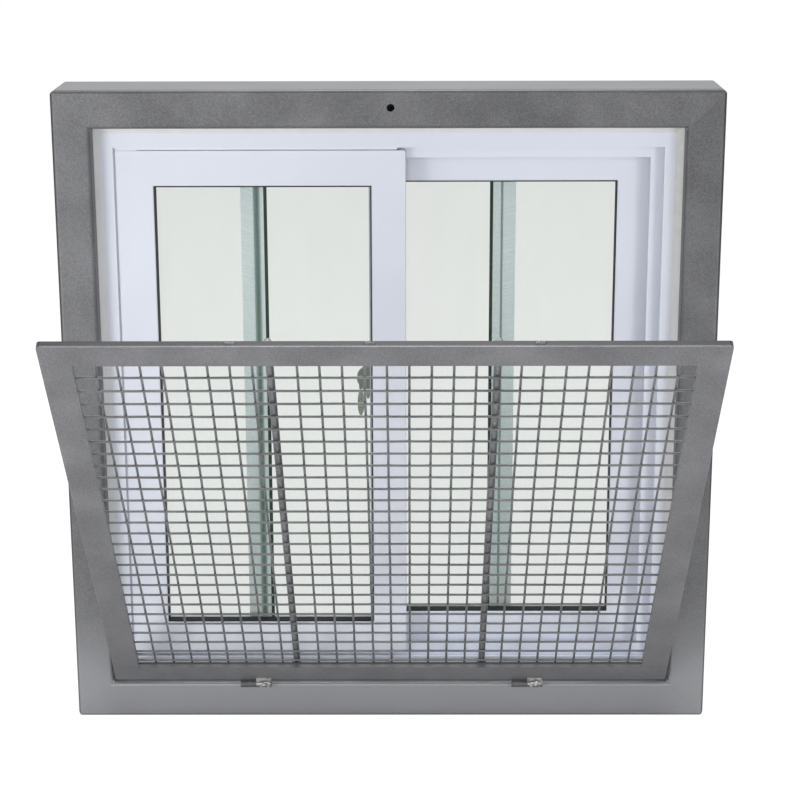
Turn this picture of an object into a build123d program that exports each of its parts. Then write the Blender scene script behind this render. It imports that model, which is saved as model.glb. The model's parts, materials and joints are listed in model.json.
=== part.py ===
import os
from math import cos, radians, sin

from build123d import *

# Two-track sliding window set in a steel tube frame, with a bottom-hinged mesh guard leaf.
# Millimetres. +X is to the right as seen from outside, +Y runs into the wall, +Z is up.
# The origin is the middle of the steel frame's bottom face. The guard leaf is modelled ajar.

# Steel frame
FRAME_W = 870.0
FRAME_H = 870.0
TUBE_DEPTH = 100.0
TUBE_FACE = 50.0
TUBE_WALL = 2.0
TUBE_EDGE_R = 5.0
FRAME_CORNER_R = 8.0
LOCK_HOLE_D = 10.0
LOCK_HOLE_X = 3.0
LOCK_HOLE_DROP = 23.0

# Guard leaf and its two weld-on barrel hinges
LEAF_OPEN_DEG = 38.4
LEAF_GAP = 5.0
LEAF_BOTTOM_GAP = 5.0
LEAF_TOP_GAP = 7.0
BORDER_W = 35.0
BORDER_T = 8.0
LEAF_CORNER_R = 4.0
LEAF_BEHIND_AXIS = 4.0
HINGE_OUT = 5.0
HINGE_UP = 1.0
HINGE_LEFT_X = -186.0
HINGE_RIGHT_X = 189.0
KNUCKLE_D = 10.0
KNUCKLE_LENGTH = 21.0
KNUCKLE_GAP = 0.4
KNUCKLE_END = 2.0
PIN_D = 5.0
PIN_CLEARANCE = 0.05
WELD_LEG = 6.5
WELD_RISE = 3.5

# Mesh and the two round bars behind it
WIRE_D = 3.0
WIRE_PITCH = 25.0
WIRE_END = 12.5
MESH_SHIFT_X = 2.0
MESH_LIFT = -2.5
WIRE_LAP = 18.0
BAR_D = 9.0
BAR_LEFT_X = -128.5
BAR_RIGHT_X = 125.5
BAR_LAP = 10.0

# Window frame with two tracks
WINDOW_RECESS = 32.0
WINDOW_SIDE_GAP = 2.0
WINDOW_BOTTOM_GAP = 4.0
WINDOW_TOP_GAP = 7.0
FLANGE_T = 3.0
FLANGE_H = 22.0
TRACK_BASE = 10.0
TRACK_WALL = 2.5
TRACK_RIB_T = 6.0
TRACK_RIB_H = 38.0
SILL_RIB_H = 34.0
DRAIN_D = 5.0
DRAIN_X = -3.0

# Sashes
SASH_T = 33.0
STILE_FACE = 52.0
MEETING_FACE = 47.0
RAIL_FACE = 49.0
SASH_W = 382.6
SASH_FLANGE_GAP = 2.0
SASH_SPACE = 7.0
SASH_SIDE_GAP = 0.8
SASH_TOP_GAP = 4.0
SASH_BOTTOM_GAP = 2.5
SASH_WALL = 2.2
SASH_EDGE_CUT = 1.0
SASH_CORNER_R = 4.0
REAR_SASH_PULL = 5.0
GROOVE_SIDE_GAP = 1.5
GROOVE_ROOF_GAP = 5.0
SLIDE_GAP = 0.3

# Glazing
GLASS_T = 5.0
GLASS_SETBACK = 15.0
GLASS_BITE = 8.0
GLASS_PLAY = 0.2
GASKET_T = 1.8
PANE_BAR_W = 30.5
PANE_BAR_T = 10.0
PANE_BAR_FRONT_X = -182.2
PANE_BAR_REAR_X = 155.3
PANE_BAR_WALL = 2.0
PANE_BAR_BAND = 17.0
PANE_BAR_FRONT_GROOVE = 8.5
PANE_BAR_REAR_GROOVE = 3.0
PANE_BAR_GROOVE_DEPTH = 5.0
BAR_GASKET_W = 4.3
BAR_GASKET_T = 4.0

# Sealant, strip seal and lock
SEALANT_LEG = 7.0
SEALANT_NARROW = 7.0
SEALANT_WIDE = 10.0
STRIP_T = 1.6
STRIP_DROP = 3.0
STRIP_LEFT_X = -335.0
STRIP_RIGHT_X = 11.0
LOCK_Z = 458.0
LOCK_HEAD_D = 30.0
LOCK_NOSE = 18.6
LOCK_FOOT_W = 24.0
LOCK_PLATE_L = 52.0
LOCK_PLATE_H = 22.0
LOCK_PLATE_R = 4.0
LOCK_T = 12.0
LOCK_EDGE_R = 1.5
LOCK_BARREL_D = 16.0
LOCK_BARREL_L = 5.0
KEY_T = 2.0
KEY_W = 9.5
KEY_L = 37.0
KEY_PLACE = 5.3
SPARE_KEY_W = 4.8
SPARE_KEY_L = 13.0
SPARE_KEY_PLACE = 15.4
KEY_NECK_W = 2.4
KEY_NECK_L = 3.0

# Places worked out from the sizes above
Y_FRONT = -TUBE_DEPTH / 2
HALF_W = FRAME_W / 2
OPEN_HALF = HALF_W - TUBE_FACE
OPEN_BOTTOM = TUBE_FACE
OPEN_TOP = FRAME_H - TUBE_FACE
REACH = 2 * TUBE_DEPTH

WINDOW_Y = Y_FRONT + WINDOW_RECESS
WINDOW_DEPTH = 2 * (FLANGE_T + SASH_FLANGE_GAP + SASH_T) + SASH_SPACE
WINDOW_OUTER = (
    -OPEN_HALF + WINDOW_SIDE_GAP,
    OPEN_BOTTOM + WINDOW_BOTTOM_GAP,
    OPEN_HALF - WINDOW_SIDE_GAP,
    OPEN_TOP - WINDOW_TOP_GAP,
)
FRONT_SASH_Y = WINDOW_Y + FLANGE_T + SASH_FLANGE_GAP
REAR_SASH_Y = FRONT_SASH_Y + SASH_T + SASH_SPACE
SASH_BOTTOM = WINDOW_OUTER[1] + FLANGE_H + SASH_BOTTOM_GAP
SASH_TOP = WINDOW_OUTER[3] - FLANGE_H - SASH_TOP_GAP
FRONT_SASH_X = WINDOW_OUTER[0] + FLANGE_H + SASH_SIDE_GAP
REAR_SASH_X = WINDOW_OUTER[2] - FLANGE_H - SASH_SIDE_GAP - REAR_SASH_PULL - SASH_W

HINGE_Y = Y_FRONT - HINGE_OUT
HINGE_Z = OPEN_BOTTOM + HINGE_UP
LEAF_HALF = OPEN_HALF - LEAF_GAP
LEAF_LOW = LEAF_BOTTOM_GAP - HINGE_UP
LEAF_HIGH = OPEN_TOP - LEAF_TOP_GAP - HINGE_Z

# The leaf's own plane: x across, y up the leaf from the hinge axis, z out of its outer face
LEAF_TILT = radians(LEAF_OPEN_DEG)
LEAF_PLANE = Plane(
    origin=(0, HINGE_Y, HINGE_Z),
    x_dir=(1, 0, 0),
    z_dir=(0, -cos(LEAF_TILT), -sin(LEAF_TILT)),
)
BORDER_BACK = -LEAF_BEHIND_AXIS - BORDER_T
pieces = []


def keep(part, label):
    """Label a finished solid and write it as its own file."""
    part.label = label
    pieces.append(part)
    export_step(part, f"parts/{label}.step")


def side_plane(side, outer):
    """Plane of a frame side's profile: x runs inwards from the outer edge, y runs in depth."""
    x0, z0, x1, z1 = outer
    return {
        "bottom": Plane(origin=(x1, 0, z0), x_dir=(0, 0, 1), z_dir=(-1, 0, 0)),
        "top": Plane(origin=(x0, 0, z1), x_dir=(0, 0, -1), z_dir=(1, 0, 0)),
        "left": Plane(origin=(x0, 0, z0), x_dir=(1, 0, 0), z_dir=(0, 0, 1)),
        "right": Plane(origin=(x1, 0, z1), x_dir=(-1, 0, 0), z_dir=(0, 0, -1)),
    }[side]


def mitre_corners(side, outer, widths):
    """Four corners, in x and z, of one side of a frame that is mitred at its corners."""
    x0, z0, x1, z1 = outer
    left, bottom, right, top = widths
    a, b, c, d = x0 + left, z0 + bottom, x1 - right, z1 - top
    return {
        "bottom": [(x0, z0), (x1, z0), (c, b), (a, b)],
        "top": [(x0, z1), (x1, z1), (c, d), (a, d)],
        "left": [(x0, z0), (x0, z1), (a, d), (a, b)],
        "right": [(x1, z0), (x1, z1), (c, d), (c, b)],
    }[side]


def mitred_side(side, outer, widths, profile, corner_r=0.0):
    """Extrude a profile along one side of a frame and mitre both of its ends."""
    x0, z0, x1, z1 = outer
    with BuildPart() as member:
        with BuildSketch(side_plane(side, outer)):
            add(profile.sketch)
        extrude(amount=x1 - x0 if side in ("bottom", "top") else z1 - z0)
        with BuildSketch(Plane.XZ):
            Polygon(*mitre_corners(side, outer, widths), align=None)
            if corner_r:
                with Locations(((x0 + x1) / 2, (z0 + z1) / 2)):
                    RectangleRounded(x1 - x0, z1 - z0, corner_r, mode=Mode.INTERSECT)
        extrude(amount=REACH, both=True, mode=Mode.INTERSECT)
    return member.part


os.makedirs("parts", exist_ok=True)

# Steel frame: four mitred lengths of rectangular tube
with BuildSketch() as tube_profile:
    with Locations((TUBE_FACE / 2, 0)):
        RectangleRounded(TUBE_FACE, TUBE_DEPTH, TUBE_EDGE_R)
        Rectangle(TUBE_FACE - 2 * TUBE_WALL, TUBE_DEPTH - 2 * TUBE_WALL, mode=Mode.SUBTRACT)

STEEL_OUTER = (-HALF_W, 0.0, HALF_W, FRAME_H)
STEEL_WIDTHS = (TUBE_FACE,) * 4

for side, label in (("bottom", "steel_bottom_rail"), ("left", "steel_left_post"), ("right", "steel_right_post")):
    keep(mitred_side(side, STEEL_OUTER, STEEL_WIDTHS, tube_profile, FRAME_CORNER_R), label)

with BuildPart() as steel_top_rail:
    add(mitred_side("top", STEEL_OUTER, STEEL_WIDTHS, tube_profile, FRAME_CORNER_R))
    with BuildSketch(Plane.XZ.offset(-Y_FRONT - TUBE_WALL)):
        with Locations((LOCK_HOLE_X, FRAME_H - LOCK_HOLE_DROP)):
            Circle(LOCK_HOLE_D / 2)
    extrude(amount=TUBE_WALL, mode=Mode.SUBTRACT)
keep(steel_top_rail.part, "steel_top_rail")


# Window frame: base channel, outer flanges and two track ribs
def track_profile(rib_h):
    """Section of a track member whose two ribs have a given height."""
    with BuildSketch() as profile:
        with Locations((0, WINDOW_Y)):
            Rectangle(TRACK_BASE, WINDOW_DEPTH, align=Align.MIN)
            Rectangle(FLANGE_H, FLANGE_T, align=Align.MIN)
        with Locations((0, WINDOW_Y + WINDOW_DEPTH)):
            Rectangle(FLANGE_H, FLANGE_T, align=(Align.MIN, Align.MAX))
        with Locations((0, FRONT_SASH_Y + SASH_T / 2), (0, REAR_SASH_Y + SASH_T / 2)):
            Rectangle(rib_h, TRACK_RIB_T, align=(Align.MIN, Align.CENTER))
        with Locations((TRACK_BASE / 2, WINDOW_Y + WINDOW_DEPTH / 2)):
            Rectangle(TRACK_BASE - 2 * TRACK_WALL, WINDOW_DEPTH - 2 * FLANGE_T, mode=Mode.SUBTRACT)
    return profile


TRACK_WIDTHS = (TRACK_RIB_H, SILL_RIB_H, TRACK_RIB_H, TRACK_RIB_H)
tall_profile = track_profile(TRACK_RIB_H)

for side, label in (("top", "track_head"), ("left", "track_left_jamb"), ("right", "track_right_jamb")):
    keep(mitred_side(side, WINDOW_OUTER, TRACK_WIDTHS, tall_profile), label)

with BuildPart() as track_sill:
    add(mitred_side("bottom", WINDOW_OUTER, TRACK_WIDTHS, track_profile(SILL_RIB_H)))
    with BuildSketch(Plane.XZ.offset(-WINDOW_Y - FLANGE_T)):
        with Locations((DRAIN_X, WINDOW_OUTER[1] + TRACK_BASE + DRAIN_D / 2)):
            Circle(DRAIN_D / 2)
    extrude(amount=FLANGE_T, mode=Mode.SUBTRACT)
keep(track_sill.part, "track_sill")

# Sealant beads between the steel opening and the window frame
OPENING = (-OPEN_HALF, OPEN_BOTTOM, OPEN_HALF, OPEN_TOP)
BEADS = {
    "left": (SEALANT_NARROW, WINDOW_SIDE_GAP),
    "bottom": (SEALANT_NARROW, WINDOW_BOTTOM_GAP),
    "right": (SEALANT_WIDE, WINDOW_SIDE_GAP),
    "top": (SEALANT_WIDE, WINDOW_TOP_GAP),
}
BEAD_WIDTHS = tuple(bead for bead, gap in BEADS.values())

for side, (bead, gap) in BEADS.items():
    with BuildSketch() as bead_profile:
        with BuildLine():
            Line((0, WINDOW_Y + SEALANT_LEG), (0, WINDOW_Y - SEALANT_LEG))
            ThreePointArc(
                (0, WINDOW_Y - SEALANT_LEG),
                (bead * 0.4, WINDOW_Y - SEALANT_LEG * 0.4),
                (bead, WINDOW_Y),
            )
            Polyline((bead, WINDOW_Y), (gap, WINDOW_Y), (gap, WINDOW_Y + SEALANT_LEG), (0, WINDOW_Y + SEALANT_LEG))
        make_face()
    keep(mitred_side(side, OPENING, BEAD_WIDTHS, bead_profile), f"sealant_{side}")


def sash_profile(face, chamber, sash_y):
    """Section of a sash member: glass pocket, and a hollow chamber from a given depth inwards."""
    glass_y = sash_y + GLASS_SETBACK
    pocket = face - GASKET_T - GLASS_BITE - GLASS_PLAY
    with BuildSketch() as profile:
        with Locations((0, sash_y)):
            Rectangle(face - GASKET_T, SASH_T, align=Align.MIN)
        chamfer(profile.vertices(), SASH_EDGE_CUT)
        with Locations((pocket, glass_y - GLASS_PLAY)):
            Rectangle(face, GLASS_T + 2 * GLASS_PLAY, align=Align.MIN, mode=Mode.SUBTRACT)
        with Locations((chamber, sash_y + SASH_T / 2)):
            Rectangle(
                pocket - chamber - SASH_WALL,
                SASH_T - 2 * SASH_WALL,
                align=(Align.MIN, Align.CENTER),
                mode=Mode.SUBTRACT,
            )
    return profile


def rib_space(outer, grooves, sash_y):
    """Groove that runs round a sash's outer edges and takes the tracks' ribs."""
    x0, z0, x1, z1 = outer
    left, bottom, right, top = grooves
    groove_w = TRACK_RIB_T + 2 * GROOVE_SIDE_GAP
    with BuildPart() as space:
        with BuildSketch(Plane.XZ.offset(-sash_y - (SASH_T + groove_w) / 2)):
            Polygon((x0, z0), (x1, z0), (x1, z1), (x0, z1), align=None)
            Polygon(
                (x0 + left, z0 + bottom),
                (x1 - right, z0 + bottom),
                (x1 - right, z1 - top),
                (x0 + left, z1 - top),
                align=None,
                mode=Mode.SUBTRACT,
            )
        extrude(amount=groove_w)
    return space.part


def make_sash(name, x0, sash_y, stile_widths, bar_x, bar_groove, inward):
    """Make one sash: four mitred members, glass, gaskets and the bar behind the glass."""
    outer = (x0, SASH_BOTTOM, x0 + SASH_W, SASH_TOP)
    left, right = stile_widths
    bottom = top = RAIL_FACE
    widths = (left, bottom, right, top)
    side_groove = TRACK_RIB_H - FLANGE_H - SASH_SIDE_GAP + GROOVE_ROOF_GAP
    sill_groove = SILL_RIB_H - FLANGE_H - SASH_BOTTOM_GAP + SLIDE_GAP
    head_groove = TRACK_RIB_H - FLANGE_H - SASH_TOP_GAP + GROOVE_ROOF_GAP
    grooves = (side_groove, sill_groove, side_groove, head_groove)
    chamber = max(grooves) + SASH_WALL
    groove = rib_space(outer, grooves, sash_y)
    members = (
        ("left", left, "left_stile"),
        ("bottom", bottom, "bottom_rail"),
        ("right", right, "right_stile"),
        ("top", top, "top_rail"),
    )
    solid_widths = tuple(width - GASKET_T for width in widths)
    for side, face, label in members:
        with BuildPart() as member:
            add(mitred_side(side, outer, solid_widths, sash_profile(face, chamber, sash_y), SASH_CORNER_R))
            add(groove, mode=Mode.SUBTRACT)
        keep(member.part, f"{name}_{label}")

    sight = (x0 + left, SASH_BOTTOM + bottom, x0 + SASH_W - right, SASH_TOP - top)
    sight_w = sight[2] - sight[0]
    sight_h = sight[3] - sight[1]
    centre = ((sight[0] + sight[2]) / 2, (sight[1] + sight[3]) / 2)
    glass_y = sash_y + GLASS_SETBACK
    bite = 2 * (GLASS_BITE + GASKET_T)

    with BuildPart() as glass:
        with BuildSketch(Plane.XZ.offset(-glass_y - GLASS_T)):
            with Locations(centre):
                Rectangle(sight_w + bite, sight_h + bite)
        extrude(amount=GLASS_T)
    keep(glass.part, f"{name}_glass")

    with BuildPart() as gasket:
        with BuildSketch(Plane.XZ.offset(-glass_y)):
            with Locations(centre):
                Rectangle(sight_w + 2 * GASKET_T, sight_h + 2 * GASKET_T)
                Rectangle(sight_w, sight_h, mode=Mode.SUBTRACT)
        extrude(amount=GLASS_SETBACK - SASH_EDGE_CUT)
    keep(gasket.part, f"{name}_gasket")

    bar_y = glass_y + GLASS_T
    bar_start = bar_x - inward * PANE_BAR_W / 2
    with BuildPart() as pane_bar:
        with BuildSketch(Plane.XY.offset(sight[1] - GASKET_T)):
            with Locations((bar_x, bar_y)):
                Rectangle(PANE_BAR_W, PANE_BAR_T, align=(Align.CENTER, Align.MIN))
            with Locations((bar_start + inward * (PANE_BAR_BAND + bar_groove / 2), bar_y)):
                Rectangle(bar_groove, PANE_BAR_GROOVE_DEPTH, align=(Align.CENTER, Align.MIN), mode=Mode.SUBTRACT)
            with Locations((bar_start + inward * PANE_BAR_BAND / 2, bar_y + PANE_BAR_T / 2)):
                Rectangle(PANE_BAR_BAND - 2 * PANE_BAR_WALL, PANE_BAR_T - 2 * PANE_BAR_WALL, mode=Mode.SUBTRACT)
        extrude(amount=sight_h + 2 * GASKET_T)
    keep(pane_bar.part, f"{name}_pane_bar")

    with BuildPart() as bar_gasket:
        with BuildSketch(Plane.XY.offset(sight[1] - GASKET_T)):
            with Locations((bar_x + inward * (PANE_BAR_W + BAR_GASKET_W) / 2, bar_y)):
                Rectangle(BAR_GASKET_W, BAR_GASKET_T, align=(Align.CENTER, Align.MIN))
        extrude(amount=sight_h + 2 * GASKET_T)
    keep(bar_gasket.part, f"{name}_bar_gasket")


FRONT_STILES = (STILE_FACE, MEETING_FACE)
REAR_STILES = (MEETING_FACE, STILE_FACE)
make_sash("front_sash", FRONT_SASH_X, FRONT_SASH_Y, FRONT_STILES, PANE_BAR_FRONT_X, PANE_BAR_FRONT_GROOVE, 1)
make_sash("rear_sash", REAR_SASH_X, REAR_SASH_Y, REAR_STILES, PANE_BAR_REAR_X, PANE_BAR_REAR_GROOVE, -1)

# Strip seal that hangs behind the head's flange above the front sash
with BuildPart() as head_strip:
    with BuildSketch(Plane.XZ.offset(-WINDOW_Y - FLANGE_T - STRIP_T)):
        with Locations(((STRIP_LEFT_X + STRIP_RIGHT_X) / 2, WINDOW_OUTER[3] - FLANGE_H - STRIP_DROP)):
            Rectangle(
                STRIP_RIGHT_X - STRIP_LEFT_X, FLANGE_H - TRACK_BASE + STRIP_DROP, align=(Align.CENTER, Align.MIN)
            )
    extrude(amount=STRIP_T)
keep(head_strip.part, "head_strip")

# Lock on the back of the rear sash's meeting stile, with its head past the stile's edge
LOCK_Y = REAR_SASH_Y + SASH_T
LOCK_X = REAR_SASH_X - LOCK_NOSE
LOCK_HEAD_X = LOCK_X + LOCK_HEAD_D / 2
LOCK_LOW = LOCK_Z - LOCK_HEAD_D / 2
with BuildPart() as lock_body:
    with BuildSketch(Plane.XZ.offset(-LOCK_Y - LOCK_T)):
        with Locations((LOCK_HEAD_X, LOCK_Z)):
            Circle(LOCK_HEAD_D / 2)
        with Locations((LOCK_HEAD_X, LOCK_LOW)):
            Rectangle(LOCK_FOOT_W, LOCK_HEAD_D / 2, align=(Align.CENTER, Align.MIN))
        with Locations((LOCK_HEAD_X, LOCK_Z)):
            Rectangle(LOCK_PLATE_L - LOCK_HEAD_D / 2, LOCK_PLATE_H, align=(Align.MIN, Align.CENTER))
    extrude(amount=LOCK_T)
    fillet(lock_body.edges().filter_by(Axis.Y).group_by(Axis.X)[-1], LOCK_PLATE_R)
    fillet(lock_body.faces().sort_by(Axis.Y)[-1].edges(), LOCK_EDGE_R)
    with BuildSketch(Plane.XZ.offset(-LOCK_Y - LOCK_T - LOCK_BARREL_L)):
        with Locations((LOCK_HEAD_X, LOCK_Z)):
            Circle(LOCK_BARREL_D / 2)
    extrude(amount=LOCK_BARREL_L)
keep(lock_body.part, "lock_body")

# Keys that hang below the lock, each a long oval under a short neck
KEYS = (("lock_key", KEY_PLACE, KEY_W, KEY_L), ("lock_spare_key", SPARE_KEY_PLACE, SPARE_KEY_W, SPARE_KEY_L))
for label, place, key_w, key_l in KEYS:
    with BuildPart() as key:
        with BuildSketch(Plane.XZ.offset(-LOCK_Y - LOCK_T / 2 - KEY_T / 2)):
            with Locations((LOCK_X + place, LOCK_LOW)):
                Rectangle(KEY_NECK_W, KEY_NECK_L + key_w / 2, align=(Align.CENTER, Align.MAX))
            with Locations((LOCK_X + place, LOCK_LOW - KEY_NECK_L - key_l / 2)):
                Ellipse(key_w / 2, key_l / 2)
        extrude(amount=KEY_T)
    keep(key.part, label)

# Hinges: barrels welded to the bottom rail, with their pins, and barrels welded to the leaf
FIXED_WELD = [
    (Y_FRONT, OPEN_BOTTOM - WELD_LEG),
    (Y_FRONT, OPEN_BOTTOM),
    (Y_FRONT + WELD_LEG, OPEN_BOTTOM),
    (Y_FRONT + HINGE_UP, OPEN_BOTTOM + WELD_RISE),
    (HINGE_Y, HINGE_Z),
    (HINGE_Y, HINGE_Z - KNUCKLE_D / 2),
]
LEAF_WELD = [
    (-LEAF_BEHIND_AXIS - HINGE_OUT, LEAF_LOW),
    (-LEAF_BEHIND_AXIS, LEAF_LOW),
    (-LEAF_BEHIND_AXIS, LEAF_LOW + HINGE_OUT),
    (WELD_RISE, WELD_RISE),
    (0, 0),
    (-KNUCKLE_D / 2, WELD_RISE / 2),
]


def leaf_side_plane(x):
    """Plane across the leaf at x, with its own x out of the leaf and its own y up the leaf."""
    return Plane(origin=(x, HINGE_Y, HINGE_Z), x_dir=LEAF_PLANE.z_dir, z_dir=(-1, 0, 0))


for side, middle_x in (("left", HINGE_LEFT_X), ("right", HINGE_RIGHT_X)):
    with BuildPart() as fixed_barrel:
        with BuildSketch(Plane.YZ.offset(middle_x - KNUCKLE_LENGTH)):
            with Locations((HINGE_Y, HINGE_Z)):
                Circle(KNUCKLE_D / 2)
            Polygon(*FIXED_WELD, align=None)
        extrude(amount=KNUCKLE_LENGTH - KNUCKLE_GAP / 2)
        with BuildSketch(Plane.YZ.offset(middle_x - KNUCKLE_LENGTH)):
            with Locations((HINGE_Y, HINGE_Z)):
                Circle(PIN_D / 2)
        extrude(amount=2 * KNUCKLE_LENGTH - KNUCKLE_END - 2 * KNUCKLE_GAP)
    keep(fixed_barrel.part, f"hinge_{side}_fixed")

    with BuildPart() as leaf_barrel:
        with BuildSketch(leaf_side_plane(middle_x + KNUCKLE_LENGTH)):
            Circle(KNUCKLE_D / 2)
            Polygon(*LEAF_WELD, align=None)
        extrude(amount=KNUCKLE_LENGTH - KNUCKLE_GAP / 2)
        with BuildSketch(leaf_side_plane(middle_x + KNUCKLE_LENGTH - KNUCKLE_END)):
            Circle(PIN_D / 2 + PIN_CLEARANCE)
        extrude(amount=KNUCKLE_LENGTH, mode=Mode.SUBTRACT)
    keep(leaf_barrel.part, f"hinge_{side}_leaf")

# Leaf border: four flat bars, mitred, in the leaf's own plane
LEAF_CENTRE = (0, (LEAF_LOW + LEAF_HIGH) / 2)
LEAF_OUTER = (-LEAF_HALF, LEAF_LOW, LEAF_HALF, LEAF_HIGH)
BORDER_PLANE = LEAF_PLANE.offset(BORDER_BACK)

for side in ("bottom", "top", "left", "right"):
    with BuildPart() as border:
        with BuildSketch(BORDER_PLANE):
            Polygon(*mitre_corners(side, LEAF_OUTER, (BORDER_W,) * 4), align=None)
            with Locations(LEAF_CENTRE):
                RectangleRounded(2 * LEAF_HALF, LEAF_HIGH - LEAF_LOW, LEAF_CORNER_R, mode=Mode.INTERSECT)
        extrude(amount=BORDER_T)
    keep(border.part, f"guard_{side}_border")

# Mesh: wires across lie on the borders' backs, and the upright wires are welded behind them
WIRE_R = WIRE_D / 2
ACROSS_DEPTH = BORDER_BACK - WIRE_R
UPRIGHT_DEPTH = BORDER_BACK - WIRE_D - WIRE_R
MESH_MIDDLE = LEAF_CENTRE[1] + MESH_LIFT
UP_STARTS = LEAF_LOW + BORDER_W - WIRE_LAP
UP_ENDS = LEAF_HIGH - BORDER_W + WIRE_LAP
MESH_EDGE = LEAF_HALF - BORDER_W + WIRE_LAP


def wire_places(length, middle):
    """Evenly pitched places of the wires that cross wires of a given length, about a middle."""
    gaps = int((length - 2 * WIRE_END) // WIRE_PITCH)
    return [middle + WIRE_PITCH * (i - gaps / 2) for i in range(gaps + 1)]


def upright_wires(x_from, x_to):
    """Places of the upright wires between two edges, clear of the round bars."""
    room = BAR_D / 2 + WIRE_D
    places = wire_places(2 * MESH_EDGE, MESH_SHIFT_X)
    bars = (BAR_LEFT_X, BAR_RIGHT_X)
    return [x for x in places if x_from < x < x_to and all(abs(x - bar) > room for bar in bars)]


MESH_PANELS = {
    "guard_mesh_left": (-MESH_EDGE, BAR_LEFT_X),
    "guard_mesh_middle": (BAR_LEFT_X, BAR_RIGHT_X),
    "guard_mesh_right": (BAR_RIGHT_X, MESH_EDGE),
}

for label, (x_from, x_to) in MESH_PANELS.items():
    with BuildPart() as mesh:
        with BuildSketch(leaf_side_plane(x_to)):
            with Locations(*[(ACROSS_DEPTH, up) for up in wire_places(UP_ENDS - UP_STARTS, MESH_MIDDLE)]):
                Rectangle(WIRE_D, WIRE_D)
        extrude(amount=x_to - x_from)
        with BuildSketch(Plane(LEAF_PLANE.from_local_coords((0, UP_STARTS, 0)), x_dir=(1, 0, 0), z_dir=LEAF_PLANE.y_dir)):
            with Locations(*[(x, -UPRIGHT_DEPTH) for x in upright_wires(x_from, x_to)]):
                Rectangle(WIRE_D, WIRE_D)
        extrude(amount=UP_ENDS - UP_STARTS)
    keep(mesh.part, label)

# Round bars behind the mesh
BAR_DEPTH = BORDER_BACK - WIRE_D - BAR_D / 2
for side, bar_x in (("left", BAR_LEFT_X), ("right", BAR_RIGHT_X)):
    with BuildPart() as bar:
        with BuildSketch(
            Plane(LEAF_PLANE.from_local_coords((0, LEAF_LOW + BAR_LAP, 0)), x_dir=(1, 0, 0), z_dir=LEAF_PLANE.y_dir)
        ):
            with Locations((bar_x, -BAR_DEPTH)):
                Circle(BAR_D / 2)
        extrude(amount=LEAF_HIGH - LEAF_LOW - 2 * BAR_LAP)
    keep(bar.part, f"guard_bar_{side}")

print(len(pieces), "pieces")
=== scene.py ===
"""Looks of a two-track sliding window set in a steel tube frame with a hinged mesh guard.

Metres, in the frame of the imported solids: +X to the right as seen from outside, +Y into the
wall, +Z up. The guard leaf's own directions are X, up the leaf and out of its outer face.
"""

from __future__ import annotations

import json
import logging
import math
from dataclasses import dataclass, replace
from enum import Enum
from typing import Callable, Iterable, Sequence, Union

import bmesh
import bpy
from mathutils import Matrix, Vector, noise

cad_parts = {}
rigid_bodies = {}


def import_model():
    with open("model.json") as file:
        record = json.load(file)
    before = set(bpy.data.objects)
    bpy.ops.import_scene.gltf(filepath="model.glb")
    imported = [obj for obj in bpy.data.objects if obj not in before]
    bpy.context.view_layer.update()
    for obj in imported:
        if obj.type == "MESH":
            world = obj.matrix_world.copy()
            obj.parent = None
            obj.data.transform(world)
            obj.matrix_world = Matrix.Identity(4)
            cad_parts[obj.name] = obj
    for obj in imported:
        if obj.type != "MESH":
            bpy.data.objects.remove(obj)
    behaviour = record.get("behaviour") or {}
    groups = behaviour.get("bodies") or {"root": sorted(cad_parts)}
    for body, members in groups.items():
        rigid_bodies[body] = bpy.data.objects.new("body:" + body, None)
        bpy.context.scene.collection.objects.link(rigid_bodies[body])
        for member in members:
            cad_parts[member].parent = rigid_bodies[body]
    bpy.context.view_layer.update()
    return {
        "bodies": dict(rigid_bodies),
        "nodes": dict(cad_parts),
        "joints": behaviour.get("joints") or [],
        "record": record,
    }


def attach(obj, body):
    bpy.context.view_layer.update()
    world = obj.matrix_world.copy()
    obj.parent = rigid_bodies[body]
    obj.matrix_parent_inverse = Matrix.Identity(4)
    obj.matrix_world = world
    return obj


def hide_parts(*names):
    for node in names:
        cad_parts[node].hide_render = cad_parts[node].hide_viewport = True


LOG = logging.getLogger("sliding_window")
RGB = tuple[float, float, float]
XYZ = tuple[float, float, float]
Span = tuple[float, float]
Corners = tuple[float, float, float, float]
MM = 0.001
SHARP_DEG = 40.0
ROD_SIDES = 8
SWAY_SEED = 4
SWAY_WAVE = 23.0
LUMP_WAVE = 0.9
LUMP_SHARE = 0.35
DROP_OVERLAP = 0.95
DROP_FINENESS = 2
JITTER_SHARE = 0.22
JITTER_WAVE = 900.0
JITTER_STEP = 1.7


class Slot(Enum):
    """The record's material slots."""

    FRAME = "frame_paint"
    GUARD = "guard_paint"
    WIRE = "wire_paint"
    WELD = "weld_metal"
    PVC = "white_pvc"


class Body(Enum):
    """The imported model's moving bodies."""

    WINDOW = "window"
    GUARD = "guard"


# Shader graphs


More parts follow.
